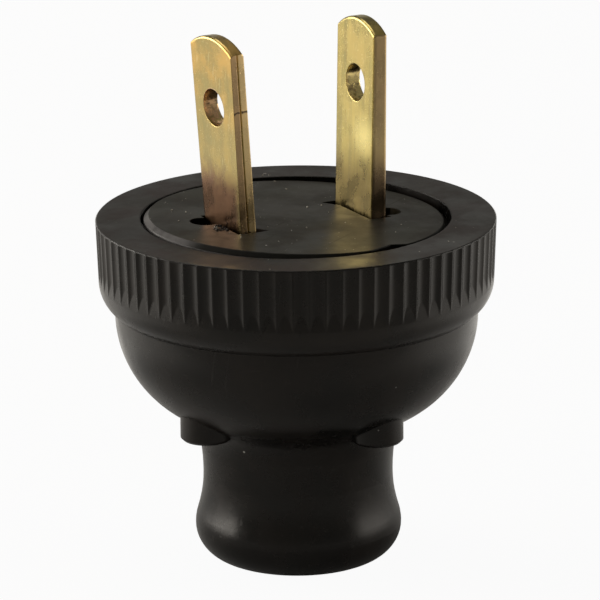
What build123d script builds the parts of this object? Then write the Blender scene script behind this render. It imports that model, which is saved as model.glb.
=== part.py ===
"""Round two-blade attachment plug: a fluted moulded body, a face cover, two blades and their screws.

The neck end stands on Z = 0, the blades point up, and +X runs from the left blade to the right one.
Lengths are in millimetres and angles in degrees.
"""
import os
from math import cos, radians, sin, tan

from build123d import *

# moulded body, outside
body_height = 30.1  # neck end to the ring face
rim_radius = 17.08  # at the ring face
rim_draft = 2.1
rim_wall = 5.4  # straight part of the rim
rim_round = 3.0  # lower edge of the rim
rim_sweep = 71.0  # of the lower edge, running into the dome
rim_edge = 0.1  # bevel on the upper edge
dome_radius = 9.7
dome_offset = 5.83  # arc centre of the dome from the axis
dome_drop = 8.22  # arc centre of the dome below the face
neck_fillet = 4.0
neck_arc = 19.0  # hollow of the neck above the waist
neck_sweep = 30.0  # of the hollow, running into the dome
waist_radius = 8.16
waist_height = 7.55
end_crest = 8.88  # widest radius of the neck end
end_round = 4.0  # above the crest
end_corner = 2.9  # below it

# fluted grip
flute_count = 78
flute_phase = 2.77
flute_radius = 1.2
flute_depth = 0.2
flute_start = 0.15  # below the face
flute_length = 3.85
flute_runout_length = 1.5  # sloping lower end of each flute

# round bosses under the dome
boss_count = 4
boss_circle_radius = 10.2
boss_angle = 12.5
boss_radius = 2.25
boss_drop = 17.65  # boss end below the face
boss_length = 5.0  # up into the dome
boss_edge = 0.25

# blades
blade_spacing = 12.7
blade_width = 6.35
blade_thickness = 1.55  # at the bend
tip_thickness = 1.25
shoulder_height = 15.6  # above the face
tip_rise = 1.08  # arch of the tip
tip_round = 0.22  # along the arch
hole_radius = 1.62
right_hole_height = 11.0  # above the face
left_hole_height = 10.6
right_lean = 0.9
left_lean = 4.0
left_twist = 5.5  # from the bend to the tip
fold_round = 0.25
seam_width = 0.16
seam_depth = 0.2
bend_radius = 0.5
bend_height = 3.5  # plain bend, from the underside of the foot
foot_thickness = 1.5
foot_wing = 5.0  # reach of the foot along Y, past its screw
foot_reach = 12.0  # outer end of the foot from the axis

# terminal screws
screw_radius = 1.45
screw_head_radius = 2.4
screw_head_height = 1.6
screw_head_edge = 0.4
screw_grip = 5.4  # length in the body
driver_slot_width = 0.7
driver_slot_depth = 0.7

# face cover, lying askew in its recess
cover_radius = 12.95
cover_thickness = 1.6
cover_sink = 0.01  # centre of the cover below the face
cover_tilt = 2.0
cover_edge = 0.4
notch_radius = 1.25  # round bay of a slot
notch_centre = (1.6, -1.6)  # from its blade's centre
slot_inner_tip = (2.0, 3.3)  # pointed end of a slot
slot_inner_start = 1.9
chip = ((-3.0, -12.75), (0.3, -12.55), (2.75, -11.5), (4.75, -12.1))  # break in its front edge

# inside of the body
cavity_radius = 12.2
floor_height = 19.5
pocket_depth = 0.6
well_radius = 4.6
well_bottom = 13.5
bore_radius = 3.6
bore_top = 12.0
bore_mouth = 0.6

# fits
cover_gap = 0.35  # cover to recess wall
slot_gap = 0.25  # blade to slot
foot_gap = 0.15  # foot to pocket
screw_gap = 0.02  # screw to its hole in the body
foot_hole_gap = 0.15  # screw to its hole in the foot
driver_gap = 0.5  # screw head to relief
seat_gap = 0.005  # cover edge to ledge

# worked out from the sizes above
face = body_height
end_flat = end_crest - end_corner
end_centre = end_crest - end_round
dome_centre = (dome_offset, face - dome_drop)
waist_step = waist_radius - end_centre
waist_rise = waist_height - end_corner
flare_arc = (waist_step**2 + waist_rise**2 - end_round**2) / (2 * (end_round - waist_step))
flare_angle = Vector(waist_step + flare_arc, 0, waist_rise).get_angle(Vector(1, 0, 0))
wall_low_radius = rim_radius - rim_wall * tan(radians(rim_draft))
rim_centre = (
    wall_low_radius - rim_round * cos(radians(rim_draft)),
    face - rim_wall + rim_round * sin(radians(rim_draft)),
)
recess_radius = cover_radius + cover_gap
cover_drop = cover_thickness * cos(radians(cover_tilt)) + cover_radius * sin(radians(cover_tilt))
ledge = face - cover_sink - cover_drop - seat_gap
foot_bottom = floor_height - pocket_depth
foot_top = foot_bottom + foot_thickness
tip_top = face + shoulder_height + tip_rise
tip_radius = (blade_width**2 / 4 + tip_rise**2) / (2 * tip_rise)

os.makedirs("parts", exist_ok=True)

# one flute of the grip, ending in a slope
with BuildPart() as flute:
    with BuildSketch(Plane.XZ):
        with BuildLine():
            Polyline(
                (-flute_radius, 0),
                (-flute_radius, -flute_length),
                (0, -flute_length - flute_radius * flute_runout_length / flute_depth),
                (0, 0),
                close=True,
            )
        make_face()
    extrude(amount=flute_radius, both=True)
    Cylinder(flute_radius, 4 * flute_length, mode=Mode.INTERSECT)

with BuildPart() as body:
    with BuildSketch(Plane.XZ) as section:
        with BuildLine():
            corner = CenterArc((end_flat, end_corner), end_corner, -90, 90)
            CenterArc((end_centre, end_corner), end_round, 0, flare_angle)
            CenterArc((waist_radius + flare_arc, waist_height), flare_arc, 180 + flare_angle, -flare_angle)
            neck = CenterArc((waist_radius + neck_arc, waist_height), neck_arc, 180, -neck_sweep)
            Polyline(neck @ 1, (0, (neck @ 1).Y), (0, 0), corner @ 0)
        make_face()
        with BuildLine():
            dome = CenterArc(dome_centre, dome_radius, -90, 90)
            dome_top = ((dome @ 1).X, rim_centre[1])
            Polyline(dome @ 1, dome_top, (0, rim_centre[1]), (0, (dome @ 0).Y), dome @ 0)
        make_face()
        with BuildLine():
            rim = CenterArc(rim_centre, rim_round, -rim_draft, -rim_sweep)
            Polyline(rim @ 1, (0, (rim @ 1).Y), (0, face), (rim_radius, face), rim @ 0)
        make_face()
        chamfer(section.vertices().sort_by_distance((rim_radius, face))[0], length=rim_edge)
        neck_root = section.vertices().filter_by_position(Axis.X, waist_radius, cavity_radius).sort_by(Axis.Y)[-1]
        fillet(neck_root, radius=neck_fillet)
    revolve(axis=Axis.Z)

    # flutes round the rim, leaning with its draft
    with PolarLocations(rim_radius - flute_depth + flute_radius, flute_count, start_angle=flute_phase):
        with Locations(Location((0, 0, face - flute_start), (0, rim_draft, 0))):
            add(flute.part, mode=Mode.SUBTRACT)

    with Locations((0, 0, face - boss_drop)):
        with PolarLocations(boss_circle_radius, boss_count, start_angle=boss_angle):
            Cone(boss_radius - boss_edge, boss_radius, boss_edge, align=(Align.CENTER, Align.CENTER, Align.MIN))
    with Locations((0, 0, face - boss_drop + boss_edge)):
        with PolarLocations(boss_circle_radius, boss_count, start_angle=boss_angle):
            Cylinder(boss_radius, boss_length, align=(Align.CENTER, Align.CENTER, Align.MIN))

    # cord bore, wire well, terminal floor and the recess of the cover
    with BuildSketch(Plane.XZ):
        with BuildLine():
            Polyline(
                (0, 0),
                (bore_radius + bore_mouth, 0),
                (bore_radius, bore_mouth),
                (bore_radius, bore_top),
                (well_radius, well_bottom),
                (well_radius, floor_height),
                (cavity_radius, floor_height),
                (cavity_radius, ledge),
                (recess_radius, ledge),
                (recess_radius, face),
                (0, face),
                close=True,
            )
        make_face()
    revolve(axis=Axis.Z, mode=Mode.SUBTRACT)

    # pockets that keep the feet of the blades from turning, open to the well
    with BuildSketch(Plane.XY.offset(foot_bottom)):
        with PolarLocations(0, 2):
            with Locations((bore_radius, -blade_width / 2 - foot_gap)):
                Rectangle(
                    foot_reach - bore_radius + foot_gap,
                    blade_width / 2 + foot_wing + 2 * foot_gap,
                    align=(Align.MIN, Align.MIN),
                )
        Circle(foot_reach + foot_gap, mode=Mode.INTERSECT)
    extrude(amount=pocket_depth, mode=Mode.SUBTRACT)

    # room for the screw heads and their driver, and the screw holes
    with BuildSketch(Plane.XY.offset(floor_height)):
        with PolarLocations(boss_circle_radius, 2, start_angle=boss_angle):
            Circle(screw_head_radius + driver_gap)
    extrude(amount=ledge - floor_height, mode=Mode.SUBTRACT)
    with BuildSketch(Plane.XY.offset(foot_bottom)):
        with PolarLocations(boss_circle_radius, 2, start_angle=boss_angle):
            Circle(screw_radius + screw_gap)
    extrude(amount=-screw_grip - screw_gap, mode=Mode.SUBTRACT)
body.part.label = "body"
export_step(body.part, "parts/body.step")

with BuildPart() as cover:
    with BuildSketch(Plane.XY.offset(face - cover_sink).rotated((0, cover_tilt, 0))):
        Circle(cover_radius)
        slot_side = blade_thickness / 2 + slot_gap
        slot_end = blade_width / 2 + slot_gap
        with PolarLocations(blade_spacing / 2, 2):
            Polygon(
                (slot_side, -slot_end),
                (-slot_side, -slot_end),
                (-slot_side, slot_inner_start),
                (-slot_inner_tip[0], slot_inner_tip[1]),
                (-slot_side, slot_end),
                (slot_side, slot_end),
                align=None,
                mode=Mode.SUBTRACT,
            )
            with Locations(notch_centre):
                Circle(notch_radius, mode=Mode.SUBTRACT)
        chip_outside = [(point[0], -recess_radius) for point in (chip[-1], chip[0])]
        Polygon(*chip, *chip_outside, align=None, mode=Mode.SUBTRACT)
    extrude(amount=-cover_thickness)
    outer_edges = cover.edges().filter_by(GeomType.CIRCLE).sort_by(SortBy.RADIUS)[-2:]
    chamfer(outer_edges.sort_by(Axis.Z)[-1], length=cover_edge)
cover.part.label = "cover"
export_step(cover.part, "parts/cover.step")

# each blade is one folded strip, built at the right, and the left one is turned half round
for name, lean, twist, hole_height, turn in (
    ("blade_right", right_lean, 0, right_hole_height, 0),
    ("blade_left", left_lean, left_twist, left_hole_height, 180),
):
    along = Vector(sin(radians(lean)), 0, cos(radians(lean)))
    across = Vector(cos(radians(lean)), 0, -sin(radians(lean)))
    root_point = Vector(blade_spacing / 2, 0, face)
    bend_point = root_point - along * ((face - foot_bottom - bend_height) / along.Z)
    blade_length = (tip_top - bend_point.Z) / along.Z + tip_thickness
    inner_bend = bend_point - across * (blade_thickness / 2)
    outer_bend = bend_point + across * (blade_thickness / 2)
    heel = inner_bend - along * ((inner_bend.Z - foot_bottom) / along.Z)
    instep = outer_bend - along * ((outer_bend.Z - foot_top) / along.Z)
    lower = Plane(origin=bend_point, x_dir=across, z_dir=along)
    upper = Plane(lower.offset(blade_length).location * Rotation(0, 0, twist))
    with BuildPart() as blade:
        # upright, tapering to an arched tip
        with BuildSketch(lower):
            Rectangle(blade_thickness, blade_width)
        with BuildSketch(upper):
            Rectangle(tip_thickness, blade_width)
        loft(ruled=True)
        with BuildSketch(Plane.YZ.offset(blade_spacing / 2)):
            with Locations((0, tip_top - tip_radius)):
                Circle(tip_radius)
                Rectangle(2 * tip_radius, face, align=(Align.CENTER, Align.MAX))
        extrude(amount=blade_spacing / 2, both=True, mode=Mode.INTERSECT)

        long_edges = blade.edges().filter_by(lambda edge: edge.length > 2 * blade_thickness)
        fillet(long_edges.filter_by_position(Axis.Z, face + shoulder_height, tip_top), radius=tip_round)

        # rounded fold on one edge, open seam on the other
        fold_edges = blade.edges().filter_by(lambda edge: edge.length > shoulder_height).sort_by(Axis.Y)[:2]
        fillet(fold_edges, radius=fold_round)
        for end in (lower, upper):
            with BuildSketch(end):
                Polygon(
                    (-seam_width, blade_width / 2 + seam_depth),
                    (0, blade_width / 2 - seam_depth),
                    (seam_width, blade_width / 2 + seam_depth),
                    align=None,
                )
        loft(ruled=True, mode=Mode.SUBTRACT)

        # round hole near the tip
        with BuildSketch(Plane(origin=root_point + along * hole_height, x_dir=(0, 1, 0), z_dir=across)):
            Circle(hole_radius)
        extrude(amount=blade_thickness, both=True, mode=Mode.SUBTRACT)

        # bend, and the foot with its screw hole
        with BuildSketch(Plane.XZ) as bend:
            with BuildLine():
                Polyline(
                    (heel.X, heel.Z),
                    (instep.X + 2 * bend_radius, foot_bottom),
                    (instep.X + 2 * bend_radius, foot_top),
                    (instep.X, instep.Z),
                    (outer_bend.X, outer_bend.Z),
                    (inner_bend.X, inner_bend.Z),
                    close=True,
                )
            make_face()
            fillet(bend.vertices().sort_by_distance((instep.X, instep.Z))[0], radius=bend_radius)
            fillet(bend.vertices().sort_by_distance((heel.X, heel.Z))[0], radius=bend_radius + foot_thickness)
        extrude(amount=blade_width / 2, both=True)
        with BuildSketch(Plane.XY.offset(foot_bottom)):
            with Locations((instep.X + bend_radius, -blade_width / 2)):
                Rectangle(foot_reach, blade_width / 2 + foot_wing, align=(Align.MIN, Align.MIN))
            Circle(foot_reach, mode=Mode.INTERSECT)
            with PolarLocations(boss_circle_radius, 1, start_angle=boss_angle):
                Circle(screw_radius + foot_hole_gap, mode=Mode.SUBTRACT)
        extrude(amount=foot_thickness)
    placed = blade.part.rotate(Axis.Z, turn)
    placed.label = name
    export_step(placed, f"parts/{name}.step")

with BuildPart() as terminal_screws:
    with BuildSketch(Plane.XY.offset(foot_bottom - screw_grip)):
        with PolarLocations(boss_circle_radius, 2, start_angle=boss_angle):
            Circle(screw_radius)
    extrude(amount=screw_grip + foot_thickness)
    with BuildSketch(Plane.XY.offset(foot_top)):
        with PolarLocations(boss_circle_radius, 2, start_angle=boss_angle):
            Circle(screw_head_radius)
    extrude(amount=screw_head_height)
    chamfer(terminal_screws.edges().group_by(Axis.Z)[-1], length=screw_head_edge)
    with BuildSketch(Plane.XY.offset(foot_top + screw_head_height)):
        with PolarLocations(boss_circle_radius, 2, start_angle=boss_angle):
            Rectangle(2 * screw_head_radius, driver_slot_width)
    extrude(amount=-driver_slot_depth, mode=Mode.SUBTRACT)
terminal_screws.part.label = "terminal_screws"
export_step(terminal_screws.part, "parts/terminal_screws.step")
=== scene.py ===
"""Looks of a round two-blade rubber plug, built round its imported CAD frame.

Lengths are in metres, in the frame of the CAD model: the neck end stands on Z = 0, the blades point up,
and +X runs from the left blade to the right one.
"""

import logging
import math
from dataclasses import dataclass, field
from enum import Enum

import bmesh
import bpy
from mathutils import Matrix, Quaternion, Vector


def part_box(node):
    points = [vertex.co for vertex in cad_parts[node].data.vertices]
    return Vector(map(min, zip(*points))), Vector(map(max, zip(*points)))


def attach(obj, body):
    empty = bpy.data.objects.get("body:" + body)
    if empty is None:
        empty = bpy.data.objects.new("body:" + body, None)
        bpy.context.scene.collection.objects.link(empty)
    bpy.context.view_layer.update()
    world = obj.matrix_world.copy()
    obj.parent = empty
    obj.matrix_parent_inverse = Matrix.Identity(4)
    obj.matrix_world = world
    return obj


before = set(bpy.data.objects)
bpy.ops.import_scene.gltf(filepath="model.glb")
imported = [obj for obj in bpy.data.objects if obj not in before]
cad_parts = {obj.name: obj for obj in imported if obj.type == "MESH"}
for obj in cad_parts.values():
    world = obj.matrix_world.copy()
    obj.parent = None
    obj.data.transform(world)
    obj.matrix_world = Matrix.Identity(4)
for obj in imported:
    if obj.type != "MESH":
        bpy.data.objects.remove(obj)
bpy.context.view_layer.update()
LOG = logging.getLogger("plug")

MM = 0.001
ORIGIN = (0.0, 0.0, 0.0)
UP = (0.0, 0.0, 1.0)
DOWN = (0.0, 0.0, -1.0)
BLADE_WIDTH = (0.0, 1.0, 0.0)  # the way across a blade's width
ROUND_PLUG = (1.0, 1.0, 0.0)  # keeps what lies square to the plug's axis
ROUND_HOLE = (0.0, 1.0, 1.0)  # keeps what lies square to the axis of a blade's hole
WHITE = (1.0, 1.0, 1.0, 1.0)
NOISE_MIDDLE = 0.5
BEVEL_SAMPLES = 6
MERGE_REACH = 0.002 * MM
SOCKET_KINDS = {
    float: "NodeSocketFloat",
    int: "NodeSocketInt",
    tuple: "NodeSocketVector",
    bpy.types.Material: "NodeSocketMaterial",
}

Socket = bpy.types.NodeSocket
Triple = tuple[float, float, float]
Colour = tuple[float, float, float, float]
NoiseLook = tuple[float, ...]  # scale where it is fixed, detail and roughness
BumpLook = tuple[float, float]  # strength and depth
Ramp = tuple[float, ...]  # where a value begins and ends, and what it becomes there if not 0 and 1
Feed = Socket | float | tuple[float, ...]  # what an input takes: another socket or a constant


class Effect(Enum):
    """Surface effects that several finishes share, each one a node group."""

    SPECKS = "dust_specks"
    SCRATCHES = "fine_scratches"
    MOTTLE = "mottle"
    # sharp edges: worn, and in the rubber also a painted glint
    WORN_EDGES_AND_GLINTS = "worn_edges_and_glints"
    FILM = "dust_film"


class Graph:
    """Adds and joins the nodes of one node tree."""

    def __init__(self, tree: bpy.types.NodeTree) -> None:
        """Starts on a tree.

        Args:
            tree: The node tree that gets the nodes.
        """
        self.tree = tree

    def add(
        self, kind: str, values: dict[str | int, Feed] | None = None, **settings: object
    ) -> bpy.types.Node:
        """Adds one node.

        Args:
            kind: Blender's name of the node type.
            values: Input name or number to what feeds it.
            settings: Properties of the node.

        Returns:
            The new node.
        """
        node = self.tree.nodes.new(kind)
        for key, setting in settings.items():
            setattr(node, key, setting)
        for key, feed in (values or {}).items():
            self.put(node.inputs[key], feed)
        return node

    def put(self, socket: Socket, feed: Feed) -> None:
        """Feeds a socket from another socket, or sets its constant.

        Args:
            socket: The input.
            feed: What feeds it.
        """
        if isinstance(feed, Socket):
            self.tree.links.new(feed, socket)
        else:
            socket.default_value = feed

    def math(self, operation: str, first: Feed, second: Feed = 0.0, clamp: bool = False) -> Socket:
        """Adds an operation on values.

        Args:
            operation: Blender's name of the operation.
            first: First value.
            second: Second value.
            clamp: Whether the result is held between 0 and 1.

        Returns:
            The result.
        """
        node = self.add("ShaderNodeMath", {0: first, 1: second}, operation=operation, use_clamp=clamp)
        return node.outputs[0]

    def fold(self, operation: str, values: tuple[Feed, ...]) -> Socket:
        """Joins values by one operation, from the first to the last.

        Args:
            operation: Blender's name of the operation.
            values: Two or more values.

        Returns:
            The result.
        """
        total = values[0]
        for value in values[1:]:
            total = self.math(operation, total, value)
        return total

    def times(self, *values: Feed) -> Socket:
        """Multiplies two or more values."""
        return self.fold("MULTIPLY", values)

    def plus(self, *values: Feed) -> Socket:
        """Adds up two or more values."""
        return self.fold("ADD", values)

    def highest(self, *values: Feed) -> Socket:
        """Takes the highest of two or more values."""
        return self.fold("MAXIMUM", values)

    def join(self, operation: str, first: Feed, second: Feed) -> Socket:
        """Joins two vectors into a third."""
        return self.add("ShaderNodeVectorMath", {0: first, 1: second}, operation=operation).outputs["Vector"]

    def measure(self, operation: str, first: Feed, second: Feed = ORIGIN) -> Socket:
        """Reads a value from one or two vectors."""
        return self.add("ShaderNodeVectorMath", {0: first, 1: second}, operation=operation).outputs["Value"]

    def dot(self, first: Feed, second: Feed) -> Socket:
        """Reads how far one vector goes along another."""
        return self.measure("DOT_PRODUCT", first, second)

    def scaled(self, vector: Feed, factor: Feed) -> Socket:
        """Makes a vector longer or shorter."""
        node = self.add("ShaderNodeVectorMath", {0: vector, "Scale": factor}, operation="SCALE")
        return node.outputs["Vector"]

    def span(self, value: Feed, low: Feed, high: Feed, to_low: Feed = 0.0, to_high: Feed = 1.0) -> Socket:
        """Maps one range of values smoothly to another.

        Args:
            value: The value.
            low: Where its range begins.
            high: Where it ends, which may be below low.
            to_low: The result at low.
            to_high: The result at high.

        Returns:
            The result.
        """
        node = self.add(
            "ShaderNodeMapRange",
            {"Value": value, "From Min": low, "From Max": high, "To Min": to_low, "To Max": to_high},
            interpolation_type="SMOOTHSTEP",
        )
        return node.outputs[0]

    def blend(self, mask: Feed, first: Feed, second: Feed) -> Socket:
        """Mixes two colours, which a Mix node holds in its sockets 6 and 7.

        Args:
            mask: Share of the second colour.
            first: First colour.
            second: Second colour.

        Returns:
            The mixed colour.
        """
        node = self.add("ShaderNodeMix", {0: mask, 6: first, 7: second}, data_type="RGBA")
        return node.outputs[2]

    def coat(self, colour: Feed, *coats: tuple[Feed, Feed]) -> Socket:
        """Lays coats over a colour, one after the other.

        Args:
            colour: The colour below.
            coats: The mask and the colour of each coat.

        Returns:
            The coated colour.
        """
        for mask, over in coats:
            colour = self.blend(mask, colour, over)
        return colour

    def noise(self, vector: Feed, scale: Feed, detail: float, roughness: float) -> Socket:
        """Adds a noise texture.

        Args:
            vector: The coordinates.
            scale: Waves to the metre.
            detail: How many finer layers it has.
            roughness: How strong they are.

        Returns:
            The noise, round its middle of 0.5.
        """
        values = {"Vector": vector, "Scale": scale, "Detail": detail, "Roughness": roughness}
        return self.add("ShaderNodeTexNoise", values).outputs[0]

    def stretch(self, vector: Feed, scale: Triple, turn: Triple = ORIGIN) -> Socket:
        """Turns texture coordinates, and scales them along the turned axes.

        Args:
            vector: The coordinates.
            scale: How much finer the pattern gets along each axis.
            turn: Degrees round X, Y and Z.

        Returns:
            The new coordinates.
        """
        values = {
            "Vector": vector,
            "Rotation": tuple(math.radians(angle) for angle in turn),
            "Scale": tuple(1.0 / factor for factor in scale),
        }
        return self.add("ShaderNodeMapping", values, vector_type="TEXTURE").outputs[0]

    def place(self) -> Socket:
        """Reads the place on the object."""
        return self.add("ShaderNodeTexCoord").outputs["Object"]

    def normal(self) -> Socket:
        """Reads the surface's normal."""
        return self.add("ShaderNodeNewGeometry").outputs["Normal"]

    def rounded(self, radius: Feed) -> Socket:
        """Reads the surface's normal with the edges rounded."""
        return self.add("ShaderNodeBevel", {"Radius": radius}, samples=BEVEL_SAMPLES).outputs[0]

    def bump(self, height: Feed, look: BumpLook, normal: Socket | None = None) -> Socket:
        """Raises a surface by a height.

        Args:
            height: The height, from 0 to 1.
            look: Strength and depth.
            normal: The normal to start from, if not the surface's own.

        Returns:
            The raised normal.
        """
        values = {"Strength": look[0], "Distance": look[1], "Height": height}
        if normal is not None:
            values["Normal"] = normal
        return self.add("ShaderNodeBump", values).outputs[0]

    def surface(self, values: dict[str, Feed]) -> None:
        """Ends a material in its shader.

        Args:
            values: Input of the Principled shader to what feeds it.
        """
        shader = self.add("ShaderNodeBsdfPrincipled", values)
        self.add("ShaderNodeOutputMaterial", {"Surface": shader.outputs[0]})


def empty_material(name: str) -> tuple[bpy.types.Material, Graph]:
    """Makes a material with no nodes.

    Args:
        name: Name of the material.

    Returns:
        The material and its graph.
    """
    material = bpy.data.materials.new(name)
    material.use_nodes = True
    material.node_tree.nodes.clear()
    return material, Graph(material.node_tree)


@dataclass(frozen=True)
class Cloud:
    """How one cloudy variation looks."""

    scale: float
    contrast: float


@dataclass
class EffectLibrary:
    """Builds each shared effect once and places it in materials."""

    speck_sizes: Ramp = (0.0, 1.0, 0.35, 1.0)  # share of the largest speck, by each cell's chance
    speck_core: float = 0.6  # share of a speck's reach that is solid
    nick_ways: tuple[tuple[Triple, Triple], ...] = (  # stretch and turn
        ((2.0, 40.0, 40.0), (0.0, 0.0, 35.0)),
        ((2.0, 40.0, 40.0), (0.0, 0.0, -52.0)),
        ((40.0, 40.0, 2.0), (12.0, 0.0, 0.0)),
    )
    nick_noise: NoiseLook = (2.0, 0.55)
    nick_fade: float = 0.07  # noise between a nick's border and its middle
    cloud_noise: NoiseLook = (6.0, 0.6)
    film_noise: NoiseLook = (5.0, 0.65)
    film_facing: Ramp = (0.8, 0.98)  # how far a face looks up
    film_cloud: Ramp = (0.3, 0.7, 0.35, 1.0)
    built: dict[Effect, bpy.types.NodeTree] = field(default_factory=dict)

    def place(self, graph: Graph, effect: Effect, **values: Feed) -> Socket:
        """Places an effect in a material.

        Args:
            graph: The material's graph.
            effect: Which effect.
            values: Input of the group to what feeds it.

        Returns:
            The effect's mask.
        """
        if effect not in self.built:
            makers = {
                Effect.SPECKS: self.specks,
                Effect.SCRATCHES: self.scratches,
                Effect.MOTTLE: self.mottle,
                Effect.WORN_EDGES_AND_GLINTS: self.worn_edges_and_glints,
                Effect.FILM: self.film,
            }
            self.built[effect] = makers[effect]()
        return graph.add("ShaderNodeGroup", values, node_tree=self.built[effect]).outputs["Mask"]

    def cloud(self, graph: Graph, place: Socket, look: Cloud) -> Socket:
        """Places a cloudy variation in a material."""
        return self.place(graph, Effect.MOTTLE, Vector=place, Scale=look.scale, Contrast=look.contrast)

    def start(self, effect: Effect, *inputs: str) -> tuple[Graph, bpy.types.NodeOutputs]:
        """Makes an empty group with its sockets.

        Args:
            effect: Which effect.
            inputs: Names of its inputs, which are numbers apart from Vector.

        Returns:
            The graph and the group's inputs.
        """
        tree = bpy.data.node_groups.new(effect.value, "ShaderNodeTree")
        for name in inputs:
            kind = "NodeSocketVector" if name == "Vector" else "NodeSocketFloat"
            tree.interface.new_socket(name, in_out="INPUT", socket_type=kind)
        tree.interface.new_socket("Mask", in_out="OUTPUT", socket_type="NodeSocketFloat")
        graph = Graph(tree)
        return graph, graph.add("NodeGroupInput").outputs

    def close(self, graph: Graph, mask: Socket) -> bpy.types.NodeTree:
        """Ends a group in its mask and gives its tree."""
        graph.add("NodeGroupOutput", {"Mask": mask})
        return graph.tree

    def specks(self) -> bpy.types.NodeTree:
        """Makes small scattered grains of dust, one to a cell at most.

        Returns:
            The group.
        """
        graph, given = self.start(Effect.SPECKS, "Vector", "Cells", "Density", "Size")
        cells = graph.add("ShaderNodeTexVoronoi", {"Vector": given["Vector"], "Scale": given["Cells"]})
        chance = graph.add("ShaderNodeSeparateColor", {0: cells.outputs["Color"]}).outputs
        chosen = graph.math("LESS_THAN", chance[0], given["Density"])
        reach = graph.times(given["Size"], graph.span(chance[1], *self.speck_sizes))
        grain = graph.span(cells.outputs["Distance"], reach, graph.times(reach, self.speck_core))
        return self.close(graph, graph.times(chosen, grain))

    def scratches(self) -> bpy.types.NodeTree:
        """Makes thin straight nicks, two ways across the face and one along the blades.

        Returns:
            The group.
        """
        graph, given = self.start(Effect.SCRATCHES, "Vector", "Scale", "Level", "Amount")
        full = graph.plus(given["Level"], self.nick_fade)
        lines = []
        for scale, turn in self.nick_ways:
            along = graph.stretch(given["Vector"], scale, turn)
            noise = graph.noise(along, given["Scale"], *self.nick_noise)
            lines.append(graph.span(noise, given["Level"], full))
        return self.close(graph, graph.times(graph.highest(*lines), given["Amount"]))

    def mottle(self) -> bpy.types.NodeTree:
        """Makes cloudy variation over the surface.

        Returns:
            The group.
        """
        graph, given = self.start(Effect.MOTTLE, "Vector", "Scale", "Contrast")
        cloud = graph.noise(given["Vector"], given["Scale"], *self.cloud_noise)
        low = graph.math("SUBTRACT", NOISE_MIDDLE, given["Contrast"])
        high = graph.plus(NOISE_MIDDLE, given["Contrast"])
        return self.close(graph, graph.span(cloud, low, high))

    def worn_edges_and_glints(self) -> bpy.types.NodeTree:
        """Makes sharp edges stand out, by how far the rounded normal leaves the flat one.

        Returns:
            The group.
        """
        graph, given = self.start(Effect.WORN_EDGES_AND_GLINTS, "Radius", "Gain")
        facing = graph.dot(graph.rounded(given["Radius"]), graph.normal())
        turned = graph.math("SUBTRACT", 1.0, facing)
        return self.close(graph, graph.math("MULTIPLY", turned, given["Gain"], clamp=True))

    def film(self) -> bpy.types.NodeTree:
        """Makes a thin uneven film of dust on what faces up.

        Returns:
            The group.
        """
        graph, given = self.start(Effect.FILM, "Vector", "Scale", "Amount")
        up = graph.dot(graph.normal(), UP)
        cloud = graph.noise(given["Vector"], given["Scale"], *self.film_noise)
        lying = graph.times(graph.span(up, *self.film_facing), graph.span(cloud, *self.film_cloud))
        return self.close(graph, graph.times(lying, given["Amount"]))


@dataclass(frozen=True)
class PaintedBevelHighlight:
    """A painted highlight: a stretch of bevelled edge painted pale on the side where the lamp's light falls.
    """

    direction: Triple  # from the axis to the middle of the painted highlight
    facing: Ramp  # how far a face looks that way
    amount: float
    colour: Colour = (0.165, 0.157, 0.155, 1.0)
    bevel: Ramp = (0.95, 0.85)  # how far it looks up
    noise: NoiseLook = (700.0, 4.0, 0.55)
    uneven: Ramp = (0.25, 0.6, 0.45, 1.0)

    def mask(self, graph: Graph, place: Socket) -> Socket:
        """Masks the painted highlight.

        Args:
            graph: The material's graph.
            place: Object coordinates.

        Returns:
            The mask.
        """
        normal = graph.normal()
        facing = graph.span(graph.dot(normal, self.direction), *self.facing)
        bevel = graph.span(graph.dot(normal, UP), *self.bevel)
        uneven = graph.span(graph.noise(place, *self.noise), *self.uneven)
        return graph.times(facing, bevel, uneven, self.amount)


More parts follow.
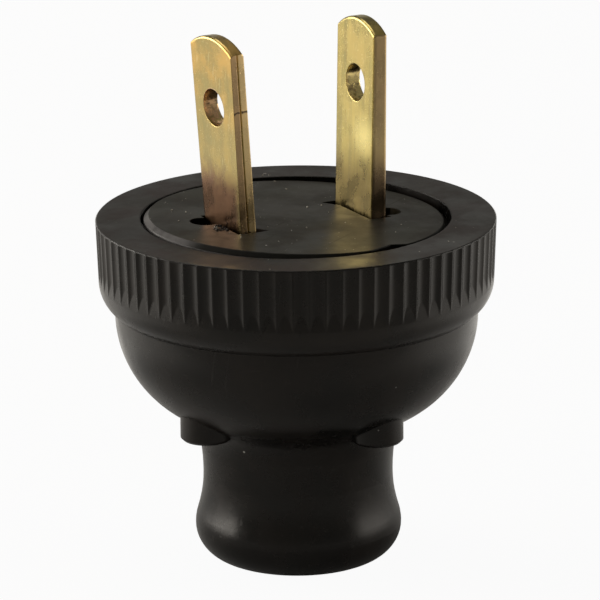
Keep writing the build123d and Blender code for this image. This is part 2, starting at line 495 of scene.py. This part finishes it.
@dataclass(frozen=True)
class RubberFinish:
    """Dark moulded rubber with a worn gloss, dust and fine scratches."""

    name: str
    dark: Colour = (0.0028, 0.0027, 0.0023, 1.0)
    brown: Colour = (0.009, 0.0066, 0.0052, 1.0)
    cloud: Cloud = Cloud(170.0, 0.22)  # from dark to brown and from gloss to dull
    gloss: float = 0.2
    dull: float = 0.34
    index: float = 1.36
    shine: Colour = (0.97, 0.95, 0.92, 1.0)  # tint of what it reflects
    grain: Cloud = Cloud(2600.0, 0.3)
    grain_height: float = 0.5
    bump: BumpLook = (0.12, 0.02 * MM)
    paler: Colour = (0.042, 0.039, 0.034, 1.0)  # of worn scratches, and of edges, where it is wear and a painted glint
    edge_radius: float = 0.18 * MM
    edge_gain: float = 0.45
    edge_grain: Ramp = (0.15, 0.75, 0.35, 1.0)  # how pale an edge looks, by the grain
    edge_rough: float = 0.3
    scratch_scale: float = 55.0
    scratch_level: float = 0.68
    scratch_amount: float = 0.55
    scratch_show: Ramp = (0.0, 0.4, 0.3, 0.9)  # how pale a scratch is, by the dust that it lies in
    scratch_rough: float = 0.2
    scratch_height: float = -1.0
    film: Colour = (0.17, 0.165, 0.12, 1.0)
    film_scale: float = 110.0
    film_amount: float = 0.05
    smudge: Colour = (0.034, 0.024, 0.023, 1.0)
    smudge_scale: float = 60.0
    smudge_amount: float = 0.8
    smudge_patches: Cloud = Cloud(260.0, 0.1)
    smudge_rough: float = 0.24
    grip_dust: Colour = (0.05, 0.044, 0.036, 1.0)
    grip_amount: float = 0.1
    grip_radius: Ramp = (16.3 * MM, 16.7 * MM)  # from the axis
    grip_facing: Ramp = (0.6, 0.3)  # how far a face looks up or down
    grip_cloud: Ramp = (0.0, 1.0, 0.6, 1.0)
    dust: Colour = (0.42, 0.41, 0.38, 1.0)
    speck_cells: float = 800.0
    speck_density: float = 0.018
    speck_size: float = 0.16
    speck_rough: float = 0.8
    # painted highlight on a bevel, pale where the lamp's light falls
    painted_highlight: PaintedBevelHighlight | None = None

    def material(self, library: EffectLibrary) -> bpy.types.Material:
        """Builds the material.

        Args:
            library: The shared effects.

        Returns:
            The new material.
        """
        material, graph = empty_material(self.name)
        place = graph.place()
        cloud = library.cloud(graph, place, self.cloud)
        grain = library.cloud(graph, place, self.grain)
        specks = library.place(
            graph,
            Effect.SPECKS,
            Vector=place,
            Cells=self.speck_cells,
            Density=self.speck_density,
            Size=self.speck_size,
        )
        scratches = library.place(
            graph,
            Effect.SCRATCHES,
            Vector=place,
            Scale=self.scratch_scale,
            Level=self.scratch_level,
            Amount=self.scratch_amount,
        )
        film = library.place(
            graph, Effect.FILM, Vector=place, Scale=self.film_scale, Amount=self.film_amount
        )
        lying = library.place(
            graph, Effect.FILM, Vector=place, Scale=self.smudge_scale, Amount=self.smudge_amount
        )
        smudges = graph.times(lying, library.cloud(graph, place, self.smudge_patches))
        edges = library.place(graph, Effect.WORN_EDGES_AND_GLINTS, Radius=self.edge_radius, Gain=self.edge_gain)
        colour = graph.coat(
            graph.blend(cloud, self.dark, self.brown),
            (film, self.film),
            (smudges, self.smudge),
            (self.grip_mask(graph, place, cloud), self.grip_dust),
            (graph.times(scratches, graph.span(lying, *self.scratch_show)), self.paler),
            # pale edges: wear, and also a painted glint along the crests and the rim's edge
            (graph.times(edges, graph.span(grain, *self.edge_grain)), self.paler),
        )
        # lays the painted highlight over the colour
        if self.painted_highlight is not None:
            colour = graph.blend(self.painted_highlight.mask(graph, place), colour, self.painted_highlight.colour)
        rough = graph.plus(
            graph.span(cloud, 0.0, 1.0, self.gloss, self.dull),
            graph.times(scratches, self.scratch_rough),
            graph.times(graph.plus(lying, smudges), self.smudge_rough),
            graph.times(edges, self.edge_rough),
        )
        height = graph.plus(
            graph.times(grain, self.grain_height), graph.times(scratches, self.scratch_height)
        )
        graph.surface(
            {
                "Base Color": graph.blend(specks, colour, self.dust),
                "Roughness": graph.highest(rough, graph.times(specks, self.speck_rough)),
                "Normal": graph.bump(height, self.bump, graph.rounded(self.edge_radius)),
                "IOR": self.index,
                "Specular Tint": self.shine,
            }
        )
        return material

    def grip_mask(self, graph: Graph, place: Socket, cloud: Socket) -> Socket:
        """Masks the handled dust on the upright wall of the grip.

        Args:
            graph: The material's graph.
            place: Object coordinates.
            cloud: Cloudy variation.

        Returns:
            The mask.
        """
        away = graph.measure("LENGTH", graph.join("MULTIPLY", place, ROUND_PLUG))
        tilt = graph.math("ABSOLUTE", graph.dot(graph.normal(), UP))
        return graph.times(
            graph.span(away, *self.grip_radius),
            graph.span(tilt, *self.grip_facing),
            graph.span(cloud, *self.grip_cloud),
            self.grip_amount,
        )


@dataclass(frozen=True)
class BrassFinish:
    """Drawn brass strip with lengthwise streaks, brown tarnish, a painted reflection on its narrow edges and
    a stained hole wall.
    """

    name: str
    bright: Colour = (0.435, 0.35, 0.135, 1.0)
    olive: Colour = (0.39, 0.325, 0.135, 1.0)
    streak_stretch: Triple = (1.0, 1.0, 0.07)
    streak_noise: NoiseLook = (1500.0, 4.0, 0.6)
    streak_share: Ramp = (0.36, 0.62)  # from olive to bright
    golden: Colour = (0.59, 0.375, 0.115, 1.0)
    blotches: Cloud = Cloud(330.0, 0.18)
    gilding: Ramp = (37.5 * MM, 42.0 * MM, 0.35, 0.95)  # how golden the blotches are, by height
    nick: Colour = (0.8, 0.68, 0.38, 1.0)
    scratch_scale: float = 160.0
    scratch_level: float = 0.66
    scratch_amount: float = 0.7
    scratch_show: float = 0.6
    edge_radius: float = 0.07 * MM
    edge_gain: float = 2.0
    edge_show: float = 0.6
    gloss: float = 0.2
    dull: float = 0.36
    rough_share: float = 0.5  # of streaks and blotches each
    rough_range: Ramp = (0.2, 0.8)  # of their sum, from gloss to dull
    rounding: float = 0.15 * MM
    bump: BumpLook = (0.25, 0.03 * MM)
    scratch_height: float = -0.6
    blotch_height: float = 0.04
    narrow_facing: Ramp = (0.55, 0.85)  # how far a face looks across the width
    # colour of the painted reflection on the narrow edges
    brown: Colour = (0.25, 0.17, 0.085, 1.0)
    edge_painted_reflection: float = 0.6  # painted reflection, on the narrow edges only
    russet: Colour = (0.215, 0.104, 0.066, 1.0)
    tarnish: float = 0.0  # of the foot
    tarnish_height: Ramp = (36.0 * MM, 32.3 * MM)
    tarnish_side: Ramp = (-9.0 * MM, -8.0 * MM)  # across the width
    tarnish_ragged: float = 0.5 * MM
    soot: Colour = (0.06, 0.04, 0.032, 1.0)
    edge_tarnish: float = 0.0  # of the narrow edges at the foot
    seam: Triple = (1.0, 0.0, 0.058)  # square to the seam's plane
    seam_offset: float = 4.51 * MM
    seam_blur: float = 0.12 * MM
    seam_shade: float = 0.0  # darker half of the edge beside the seam
    crack: float = 0.0  # dark cross crack from the hole to the edge
    crack_noise: NoiseLook = (900.0, 3.0, 0.55)
    crack_wander: Ramp = (0.2, 0.8, -0.25 * MM, 0.25 * MM)
    crack_width: Ramp = (0.16 * MM, 0.05 * MM)
    rubbed: Colour = (0.92, 0.77, 0.3, 1.0)
    patch: float = 0.0  # of the bright rubbed patch
    patch_centre: Triple = ORIGIN
    patch_radius: float = 2.2 * MM
    stain: Colour = (0.9, 0.58, 0.32, 1.0)  # of the hole's wall
    stain_gaps: Ramp = (0.95, 0.3)
    fine: Cloud = Cloud(2400.0, 0.2)
    hole_centre: Triple = ORIGIN
    hole_wall: Ramp = (1.65 * MM, 1.63 * MM)  # from the hole's axis

    def material(self, library: EffectLibrary) -> bpy.types.Material:
        """Builds the material.

        Args:
            library: The shared effects.

        Returns:
            The new material.
        """
        material, graph = empty_material(self.name)
        place = graph.place()
        streaks = graph.noise(graph.stretch(place, self.streak_stretch), *self.streak_noise)
        blotches = library.cloud(graph, place, self.blotches)
        fine = library.cloud(graph, place, self.fine)
        scratches = library.place(
            graph,
            Effect.SCRATCHES,
            Vector=place,
            Scale=self.scratch_scale,
            Level=self.scratch_level,
            Amount=self.scratch_amount,
        )
        edges = library.place(graph, Effect.WORN_EDGES_AND_GLINTS, Radius=self.edge_radius, Gain=self.edge_gain)
        gilded = graph.span(graph.dot(place, UP), *self.gilding)
        colour = graph.coat(
            graph.blend(graph.span(streaks, *self.streak_share), self.olive, self.bright),
            (graph.times(blotches, gilded), self.golden),
            (graph.times(scratches, self.scratch_show), self.nick),
        )
        colour = self.stains(graph, place, blotches, colour)
        colour = self.hole_stain(graph, place, fine, colour)
        mixed = graph.plus(
            graph.times(streaks, self.rough_share), graph.times(blotches, self.rough_share)
        )
        height = graph.plus(
            streaks,
            graph.times(scratches, self.scratch_height),
            graph.times(blotches, self.blotch_height),
        )
        graph.surface(
            {
                "Base Color": graph.blend(graph.times(edges, self.edge_show), colour, self.bright),
                "Roughness": graph.span(mixed, *self.rough_range, self.gloss, self.dull),
                "Normal": graph.bump(height, self.bump, graph.rounded(self.rounding)),
                "Metallic": 1.0,
            }
        )
        return material

    def stains(self, graph: Graph, place: Socket, blotches: Socket, colour: Socket) -> Socket:
        """Lays the rubbed patch, the tarnish, the painted reflection and the seam shade on the narrow edges,
        and the crack over the brass.

        Args:
            graph: The material's graph.
            place: Object coordinates.
            blotches: Cloudy variation.
            colour: The clean brass.

        Returns:
            The stained brass.
        """
        across = graph.add("ShaderNodeSeparateXYZ", {0: graph.normal()}).outputs[1]
        narrow = graph.span(graph.math("ABSOLUTE", across), *self.narrow_facing)
        height = graph.dot(place, UP)
        ragged = graph.span(blotches, 0.0, 1.0, -self.tarnish_ragged, self.tarnish_ragged)
        foot = graph.times(
            graph.span(graph.plus(height, ragged), *self.tarnish_height),
            graph.span(graph.dot(place, BLADE_WIDTH), *self.tarnish_side),
        )
        if self.patch:
            away = graph.measure("DISTANCE", place, self.patch_centre)
            paler = graph.times(graph.span(away, self.patch_radius, 0.0), self.patch)
            colour = graph.blend(paler, colour, self.rubbed)
        if self.tarnish:
            colour = graph.blend(graph.times(foot, self.tarnish), colour, self.russet)
        # paints the narrow edges with the colour of what they reflect
        colour = graph.blend(graph.times(narrow, self.edge_painted_reflection), colour, self.brown)
        if self.edge_tarnish:
            colour = graph.blend(graph.times(foot, narrow, self.edge_tarnish), colour, self.soot)
        if self.seam_shade:
            beside = graph.plus(graph.dot(place, self.seam), self.seam_offset)
            side = graph.span(beside, self.seam_blur, -self.seam_blur)
            colour = graph.blend(graph.times(side, narrow, self.seam_shade), colour, self.russet)
        if self.crack:
            wander = graph.span(graph.noise(place, *self.crack_noise), *self.crack_wander)
            level = graph.math("SUBTRACT", graph.plus(height, wander), self.hole_centre[2])
            line = graph.span(graph.math("ABSOLUTE", level), *self.crack_width)
            colour = graph.blend(graph.times(line, narrow, self.crack), colour, self.soot)
        return colour

    def hole_stain(self, graph: Graph, place: Socket, fine: Socket, colour: Socket) -> Socket:
        """Lays the stain over the wall of the hole.

        Args:
            graph: The material's graph.
            place: Object coordinates.
            fine: Fine variation.
            colour: The brass so far.

        Returns:
            The brass with its hole stained.
        """
        from_hole = graph.join("SUBTRACT", place, self.hole_centre)
        reach = graph.measure("LENGTH", graph.join("MULTIPLY", from_hole, ROUND_HOLE))
        wall = graph.times(graph.span(reach, *self.hole_wall), graph.span(fine, *self.stain_gaps))
        return graph.blend(wall, colour, self.stain)


@dataclass(frozen=True)
class LintFinish:
    """Pale matt dust and lint."""

    name: str
    pale: Colour = (0.5, 0.49, 0.46, 1.0)
    tan: Colour = (0.3, 0.27, 0.21, 1.0)
    cloud: Cloud = Cloud(500.0, 0.15)
    grain: Cloud = Cloud(20000.0, 0.3)
    rough: Ramp = (0.0, 1.0, 0.75, 0.95)
    bump: BumpLook = (0.4, 0.01 * MM)

    def material(self, library: EffectLibrary) -> bpy.types.Material:
        """Builds the material.

        Args:
            library: The shared effects.

        Returns:
            The new material.
        """
        material, graph = empty_material(self.name)
        place = graph.place()
        cloud = library.cloud(graph, place, self.cloud)
        grain = library.cloud(graph, place, self.grain)
        graph.surface(
            {
                "Base Color": graph.blend(cloud, self.pale, self.tan),
                "Roughness": graph.span(grain, *self.rough),
                "Normal": graph.bump(grain, self.bump),
            }
        )
        return material


def dress(node: str, material: bpy.types.Material) -> None:
    """Puts a material on a CAD node and reports it.

    Args:
        node: Name of the node.
        material: Its material.
    """
    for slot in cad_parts[node].material_slots:
        slot.material = material
    LOG.info("dressed %s in %s", node, material.name)


def merged_copy(node: str) -> bpy.types.Mesh:
    """Copies a CAD node's mesh with its doubles merged.

    Args:
        node: Name of the node.

    Returns:
        The copy.
    """
    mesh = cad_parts[node].data.copy()
    work = bmesh.new()
    work.from_mesh(mesh)
    bmesh.ops.remove_doubles(work, verts=work.verts, dist=MERGE_REACH)
    work.to_mesh(mesh)
    work.free()
    return mesh


class RuledPiece:
    """A piece that a tree of geometry nodes makes from named inputs."""

    def __init__(self, name: str, inputs: dict[str, float | int | Triple | bpy.types.Material]) -> None:
        """Makes the empty tree with its sockets.

        Args:
            name: Name of the piece.
            inputs: Input name to value, with the piece's Material among them.
        """
        self.name = name
        self.tree = bpy.data.node_groups.new(f"{name}_rule", "GeometryNodeTree")
        self.tree.interface.new_socket("Geometry", in_out="INPUT", socket_type="NodeSocketGeometry")
        self.values = {}
        for label, value in inputs.items():
            kind = SOCKET_KINDS[type(value)]
            socket = self.tree.interface.new_socket(label, in_out="INPUT", socket_type=kind)
            self.values[socket.identifier] = value
        self.tree.interface.new_socket("Geometry", in_out="OUTPUT", socket_type="NodeSocketGeometry")
        self.graph = Graph(self.tree)
        self.given = self.graph.add("NodeGroupInput").outputs

    def place(self) -> Socket:
        """Reads the place of each point."""
        return self.graph.add("GeometryNodeInputPosition").outputs[0]

    def circle(self, steps: Feed, radius: Feed) -> Socket:
        """Adds a circle as a curve."""
        values = {"Resolution": steps, "Radius": radius}
        return self.graph.add("GeometryNodeCurvePrimitiveCircle", values, mode="RADIUS").outputs[0]

    def draw(self, low: Triple, high: Triple, seed: int) -> Socket:
        """Draws a vector for each point."""
        values = {0: low, 1: high, "Seed": seed}
        return self.graph.add("FunctionNodeRandomValue", values, data_type="FLOAT_VECTOR").outputs[0]

    def close(self, geometry: Socket) -> None:
        """Ends the tree in real faces with the piece's material.

        Args:
            geometry: What the tree has made.
        """
        real = self.graph.add("GeometryNodeRealizeInstances", {"Geometry": geometry}).outputs[0]
        smooth = self.graph.add("GeometryNodeSetShadeSmooth", {"Geometry": real}).outputs[0]
        values = {"Geometry": smooth, "Material": self.given["Material"]}
        dressed = self.graph.add("GeometryNodeSetMaterial", values).outputs[0]
        self.graph.add("NodeGroupOutput", {"Geometry": dressed})

    def bake(self, start: bpy.types.Mesh) -> None:
        """Runs the tree on a mesh, keeps the result as a plain mesh and reports it.

        Args:
            start: The mesh that the tree starts from.
        """
        piece = bpy.data.objects.new(self.name, start)
        bpy.context.scene.collection.objects.link(piece)
        modifier = piece.modifiers.new(self.name, "NODES")
        modifier.node_group = self.tree
        for identifier, value in self.values.items():
            modifier[identifier] = value
        graph = bpy.context.evaluated_depsgraph_get()
        mesh = bpy.data.meshes.new_from_object(piece.evaluated_get(graph), depsgraph=graph)
        piece.modifiers.clear()
        piece.data = mesh
        work = bmesh.new()
        work.from_mesh(mesh)
        bmesh.ops.recalc_face_normals(work, faces=work.faces)
        work.to_mesh(mesh)
        work.free()
        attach(piece, "root")
        LOG.info("built %s with %d faces", self.name, len(mesh.polygons))


@dataclass
class MouldedBody:
    """The fluted body, the cover that lies in its face, and the ragged flash between them."""

    recess_radius: float = 13.29 * MM
    flash_radius: float = 0.05 * MM
    flash_sides: int = 8
    flash_steps: int = 420
    flash_wander: float = 0.11 * MM
    flash_noise: NoiseLook = (420.0, 4.0, 0.7)
    flash_share: Ramp = (0.45, 0.75)  # of the noise, from none to all of the wander
    body_finish: RubberFinish = RubberFinish("moulded_rubber_worn")
    cover_finish: RubberFinish = RubberFinish(
        "cover_disc_dusty",
        dark=(0.0046, 0.0046, 0.0034, 1.0),
        brown=(0.0068, 0.0062, 0.0045, 1.0),
        gloss=0.27,
        dull=0.4,
        index=1.2,
        film_amount=0.16,
        smudge_amount=0.35,
        speck_density=0.035,
        # painted highlight on the left of the cover's bevel, where the lamp's light falls
        painted_highlight=PaintedBevelHighlight((-0.989, 0.148, 0.0), (0.56, 0.65), 0.68),
    )
    flash_finish: RubberFinish = RubberFinish("flash_rubber_torn", scratch_amount=0.2)

    def dress(self, library: EffectLibrary) -> None:
        """Dresses the body and the cover."""
        dress("body", self.body_finish.material(library))
        dress("cover", self.cover_finish.material(library))

    def build_flash(self, library: EffectLibrary, face: float) -> None:
        """Runs a thin ragged flash round the edge of the recess.

        Args:
            library: The shared effects.
            face: Height of the ring face.
        """
        rule = RuledPiece(
            "recess_flash",
            {
                "Radius": self.recess_radius,
                "Height": face - self.flash_radius,
                "Thickness": self.flash_radius,
                "Wander": self.flash_wander,
                "Steps": self.flash_steps,
                "Material": self.flash_finish.material(library),
            },
        )
        graph, given = rule.graph, rule.given
        ring = rule.circle(given["Steps"], given["Radius"])
        place = rule.place()
        coarse = graph.span(graph.noise(place, *self.flash_noise), *self.flash_share)
        inward = graph.math("DIVIDE", graph.times(coarse, given["Wander"], -1.0), given["Radius"])
        lift = graph.add("ShaderNodeCombineXYZ", {2: given["Height"]}).outputs[0]
        offset = graph.join("ADD", graph.scaled(place, inward), lift)
        path = graph.add("GeometryNodeSetPosition", {"Geometry": ring, "Offset": offset}).outputs[0]
        profile = rule.circle(self.flash_sides, given["Thickness"])
        tube = graph.add("GeometryNodeCurveToMesh", {"Curve": path, "Profile Curve": profile})
        rule.close(tube.outputs[0])
        rule.bake(bpy.data.meshes.new("flash_start"))


@dataclass(frozen=True)
class GrainLayer:
    """How one surface is strewn with dust."""

    name: str
    node: str
    slot: str
    density: float  # grains to the square metre
    seed: int
    smallest: float = 0.03 * MM
    largest: float = 0.11 * MM
    centre: Triple = (0.0, 0.0, 30.1 * MM)
    reach: float = 20.0 * MM  # from the centre
    finish: LintFinish = LintFinish("pale_dust")


@dataclass
class Dust:
    """Loose grains of dust on the face, with pale crumbs and dirt beside a blade, the crumbs' paleness a
    painted glint on the debris, and a tuft of lint.
    """

    level: float = 0.97  # how far a face that holds dust looks up
    clean_below: float = 1.0 * MM  # the ring face; lower ledges stay clean
    size_power: float = 3.0  # above 1, small grains outnumber large ones
    most_turned: Triple = (6.28, 6.28, 6.28)
    turn_seed: int = 3
    slimmest: Triple = (0.6, 0.6, 0.5)  # shares of a grain's size
    stoutest: Triple = (1.6, 1.2, 0.9)
    shape_seed: int = 5
    layers: tuple[GrainLayer, ...] = (
        GrainLayer("cover_dust", "cover", "cover_disc", density=2.2e5, seed=7),
        GrainLayer("ring_dust", "body", "moulded_rubber", density=8.0e4, seed=23, largest=0.09 * MM),
        # pale crumbs of debris whose paleness paints the glints on it
        GrainLayer(
            "slot_crumbs_painted_glints",
            "cover",
            "cover_disc",
            density=9.0e6,
            seed=11,
            smallest=0.05 * MM,
            largest=0.16 * MM,
            centre=(-7.9 * MM, -1.3 * MM, 30.4 * MM),
            reach=0.8 * MM,
        ),
        GrainLayer(
            "slot_dirt",
            "cover",
            "cover_disc",
            density=2.0e7,
            seed=31,
            smallest=0.07 * MM,
            largest=0.22 * MM,
            centre=(-7.5 * MM, -1.1 * MM, 30.4 * MM),
            reach=1.0 * MM,
            finish=LintFinish(
                "slot_dirt_brown", pale=(0.03, 0.019, 0.014, 1.0), tan=(0.012, 0.008, 0.006, 1.0)
            ),
        ),
        GrainLayer(
            "ring_lint",
            "body",
            "moulded_rubber",
            density=2.0e7,
            seed=5,
            largest=0.1 * MM,
            centre=(4.3 * MM, 13.4 * MM, 30.1 * MM),
            reach=0.45 * MM,
        ),
    )

    def build(self, library: EffectLibrary, face: float) -> None:
        """Strews each layer's surface.

        Args:
            library: The shared effects.
            face: Height of the ring face.
        """
        finishes = dict.fromkeys(layer.finish for layer in self.layers)
        materials = {finish: finish.material(library) for finish in finishes}
        for layer in self.layers:
            rule = RuledPiece(
                layer.name,
                {
                    "Density": layer.density,
                    "Seed": layer.seed,
                    "Smallest": layer.smallest,
                    "Largest": layer.largest,
                    "Lowest": face - self.clean_below,
                    "Centre": layer.centre,
                    "Reach": layer.reach,
                    "Material": materials[layer.finish],
                },
            )
            self.strew(rule)
            rule.bake(merged_copy(layer.node))

    def strew(self, rule: RuledPiece) -> None:
        """Lays grains of mixed size on the faces that look up.

        Args:
            rule: The piece that the grains become.
        """
        graph, given = rule.graph, rule.given
        place = rule.place()
        up = graph.dot(graph.add("GeometryNodeInputNormal").outputs[0], UP)
        chosen = graph.times(
            graph.math("GREATER_THAN", up, self.level),
            graph.math("GREATER_THAN", graph.dot(place, UP), given["Lowest"]),
        )
        values = {
            "Mesh": given["Geometry"],
            "Selection": chosen,
            "Density": given["Density"],
            "Seed": given["Seed"],
        }
        points = graph.add("GeometryNodeDistributePointsOnFaces", values).outputs["Points"]
        near = graph.math("LESS_THAN", graph.measure("DISTANCE", place, given["Centre"]), given["Reach"])
        share = graph.add("FunctionNodeRandomValue", {"Seed": given["Seed"]}, data_type="FLOAT").outputs[1]
        few_large = graph.math("POWER", share, self.size_power)
        size = graph.span(few_large, 0.0, 1.0, given["Smallest"], given["Largest"])
        turn = rule.draw(ORIGIN, self.most_turned, self.turn_seed)
        shape = rule.draw(self.slimmest, self.stoutest, self.shape_seed)
        grain = graph.add("GeometryNodeMeshIcoSphere", {"Radius": 1.0, "Subdivisions": 1})
        values = {
            "Points": points,
            "Selection": near,
            "Instance": grain.outputs[0],
            "Rotation": graph.add("FunctionNodeEulerToRotation", {0: turn}).outputs[0],
            "Scale": graph.scaled(shape, size),
        }
        rule.close(graph.add("GeometryNodeInstanceOnPoints", values).outputs[0])


@dataclass
class Blades:
    """The two brass blades and their screws."""

    left: BrassFinish = BrassFinish(
        "left_blade_brass",
        hole_centre=(-7.09 * MM, 0.0, 40.67 * MM),
        # colour of the painted reflection on the narrow edges
        brown=(0.97, 0.71, 0.36, 1.0),
        edge_painted_reflection=0.75,
        tarnish=0.87,
        tarnish_height=(36.2 * MM, 33.4 * MM),
        tarnish_side=(-3.7 * MM, -2.2 * MM),
        seam_shade=0.54,
        crack=0.9,
    )
    right: BrassFinish = BrassFinish(
        "right_blade_brass",
        hole_centre=(6.52 * MM, 0.0, 41.1 * MM),
        bright=(0.5, 0.405, 0.135, 1.0),
        olive=(0.38, 0.32, 0.12, 1.0),
        golden=(0.44, 0.33, 0.11, 1.0),
        # colour of the painted reflection on the narrow edges
        brown=(0.55, 0.355, 0.25, 1.0),
        edge_painted_reflection=0.42,
        russet=(0.26, 0.18, 0.08, 1.0),
        tarnish=0.55,
        edge_tarnish=0.6,
        patch=0.9,
        patch_centre=(5.8 * MM, -1.6 * MM, 36.6 * MM),
        patch_radius=2.6 * MM,
        stain=(0.95, 0.75, 0.32, 1.0),
    )
    screws: BrassFinish = BrassFinish("screw_brass_satin")

    def dress(self, library: EffectLibrary) -> None:
        """Dresses the blades and the screws.

        Args:
            library: The shared effects.
        """
        dress("blade_left", self.left.material(library))
        dress("blade_right", self.right.material(library))
        dress("terminal_screws", self.screws.material(library))


@dataclass
class PhotoCamera:
    """The camera at the photograph's viewing angle."""

    azimuth: float = -28.5
    elevation: float = 15.35  # of the line from the ring face's centre to the lens
    distance: float = 450.0 * MM
    pixels_per_mm: float = 11.75  # at the ring face's centre
    face_pixel: tuple[float, float] = (295.9, 216.3)
    roll: float = 0.5
    frame_pixels: float = 600.0
    sensor: float = 36.0
    clip_ratio: float = 50.0  # between the distance and each end of what it sees

    def build(self, face_centre: Vector) -> None:
        """Makes the camera and sets it as the scene's own.

        Args:
            face_centre: Centre of the ring face.
        """
        turn = math.radians(self.azimuth)
        rise = math.radians(self.elevation)
        back = Vector((math.sin(turn) * math.cos(rise), -math.cos(turn) * math.cos(rise), math.sin(rise)))
        focal = self.pixels_per_mm / MM * self.distance
        middle = self.frame_pixels / 2
        towards = Vector((self.face_pixel[0] - middle, middle - self.face_pixel[1], -focal)).normalized()
        tipped = Quaternion(UP, math.radians(-self.roll))
        aim = (tipped @ towards).rotation_difference(Vector(DOWN))
        data = bpy.data.cameras.new("photo_camera")
        data.sensor_width = self.sensor
        data.lens = focal / self.frame_pixels * self.sensor
        data.clip_start = self.distance / self.clip_ratio
        data.clip_end = self.distance * self.clip_ratio
        camera = bpy.data.objects.new("photo_camera", data)
        camera.location = face_centre + back * self.distance
        camera.rotation_mode = "QUATERNION"
        camera.rotation_quaternion = (-back).to_track_quat("-Z", "Y") @ aim @ tipped
        bpy.context.scene.collection.objects.link(camera)
        bpy.context.scene.camera = camera


@dataclass(frozen=True)
class SoftBox:
    """One large soft lamp, aimed at the plug."""

    name: str
    place: Triple
    width: float
    height: float
    power: float
    tint: Triple = (1.0, 0.955, 0.89)

    def build(self, target: Vector) -> None:
        """Hangs the lamp and turns it to the target.

        Args:
            target: The point that it lights.
        """
        data = bpy.data.lights.new(self.name, "AREA")
        data.shape = "RECTANGLE"
        data.size = self.width
        data.size_y = self.height
        data.energy = self.power
        data.color = self.tint
        lamp = bpy.data.objects.new(self.name, data)
        lamp.location = self.place
        lamp.rotation_mode = "QUATERNION"
        lamp.rotation_quaternion = (target - Vector(self.place)).to_track_quat("-Z", "Y")
        bpy.context.scene.collection.objects.link(lamp)


@dataclass
class Studio:
    """A plain pale floor, soft lamps and a dim room."""

    floor_size: float = 8.0
    floor_drop: float = 0.02 * MM  # below the neck's end
    floor_colour: Colour = (0.62, 0.62, 0.62, 1.0)
    camera_lift: float = 0.95  # share of plain white that the camera sees in the floor
    mirror_lift: float = 1.0  # the same for what shines, on the floor beside and behind the plug
    mirror_tint: Colour = (1.0, 0.96, 0.89, 1.0)
    mirror_ring: Ramp = (34.0 * MM, 66.0 * MM)  # from the axis
    mirror_way: Triple = (0.477, 0.879, 0.0)  # along the floor, away from the lens
    mirror_depth: Ramp = (-50.0 * MM, -5.0 * MM)  # that way from the axis
    room_low: float = 0.27  # brightness of the room at the horizon
    room_high: float = 0.15  # and overhead
    room_rise: float = 0.35  # how far up a look goes to what counts as overhead
    room_tint: Colour = (1.0, 0.98, 0.9, 1.0)
    lamps: tuple[SoftBox, ...] = (
        SoftBox("key_back_left", (-0.352, 0.313, 0.12), 0.5, 0.22, 2.2),
        SoftBox("fill_right", (0.426, -0.186, 0.11), 0.39, 0.2, 0.78),
        SoftBox("back_glow", (0.25, 0.46, 0.16), 0.4, 0.16, 0.037),
        SoftBox("overhead", (-0.035, 0.25, 0.58), 0.4, 0.4, 1.15),
    )

    def build(self, target: Vector) -> None:
        """Builds the whole set round the plug.

        Args:
            target: The point that the lamps light.
        """
        self.floor()
        self.room()
        for lamp in self.lamps:
            lamp.build(target)
        bpy.context.scene.view_settings.view_transform = "Standard"

    def floor(self) -> None:
        """Lays the floor, which keeps the plug's shadow."""
        half = self.floor_size / 2
        mesh = bpy.data.meshes.new("floor")
        corners = [(-half, -half, 0.0), (half, -half, 0.0), (half, half, 0.0), (-half, half, 0.0)]
        mesh.from_pydata(corners, [], [(0, 1, 2, 3)])
        floor = bpy.data.objects.new("floor", mesh)
        floor.location.z = -self.floor_drop
        bpy.context.scene.collection.objects.link(floor)
        mesh.materials.append(self.floor_material())

    def floor_material(self) -> bpy.types.Material:
        """Makes the floor pale to light, and near white to the camera and to what shines.

        Returns:
            The new material.
        """
        material, graph = empty_material("pale_floor")
        rays = graph.add("ShaderNodeLightPath").outputs
        shining = graph.highest(rays["Is Glossy Ray"], rays["Is Transmission Ray"])
        place = graph.add("ShaderNodeNewGeometry").outputs["Position"]
        away = graph.measure("LENGTH", place)
        behind = graph.span(graph.dot(place, self.mirror_way), *self.mirror_depth)
        mirrored = graph.times(graph.span(away, *self.mirror_ring, 0.0, self.mirror_lift), behind)
        seen = graph.times(rays["Is Camera Ray"], self.camera_lift)
        lift = graph.highest(seen, graph.times(shining, mirrored))
        pale = graph.add("ShaderNodeBsdfDiffuse", {"Color": self.floor_colour})
        tint = graph.blend(shining, WHITE, self.mirror_tint)
        white = graph.add("ShaderNodeEmission", {"Color": tint, "Strength": 1.0})
        surface = graph.add("ShaderNodeMixShader", {0: lift, 1: pale.outputs[0], 2: white.outputs[0]})
        graph.add("ShaderNodeOutputMaterial", {"Surface": surface.outputs[0]})
        return material

    def room(self) -> None:
        """Makes the room: white to the camera, dim and even for light."""
        world = bpy.data.worlds.new("studio_room")
        world.use_nodes = True
        world.node_tree.nodes.clear()
        bpy.context.scene.world = world
        graph = Graph(world.node_tree)
        look = graph.add("ShaderNodeTexCoord").outputs["Generated"]
        rise = graph.add("ShaderNodeSeparateXYZ", {0: look}).outputs[2]
        level = graph.span(rise, 0.0, self.room_rise, self.room_low, self.room_high)
        seen = graph.add("ShaderNodeLightPath").outputs["Is Camera Ray"]
        values = {"Color": self.room_tint, "Strength": graph.highest(level, seen)}
        background = graph.add("ShaderNodeBackground", values)
        graph.add("ShaderNodeOutputWorld", {"Surface": background.outputs[0]})


def main() -> None:
    """Builds and dresses the plug and its studio."""
    logging.basicConfig(level=logging.INFO, format="%(name)s: %(message)s")
    library = EffectLibrary()
    face_centre = Vector((0.0, 0.0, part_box("body")[1].z))
    body = MouldedBody()
    body.dress(library)
    body.build_flash(library, face_centre.z)
    Blades().dress(library)
    Dust().build(library, face_centre.z)
    Studio().build(face_centre / 2)
    PhotoCamera().build(face_centre)


if __name__ == "__main__":
    main()
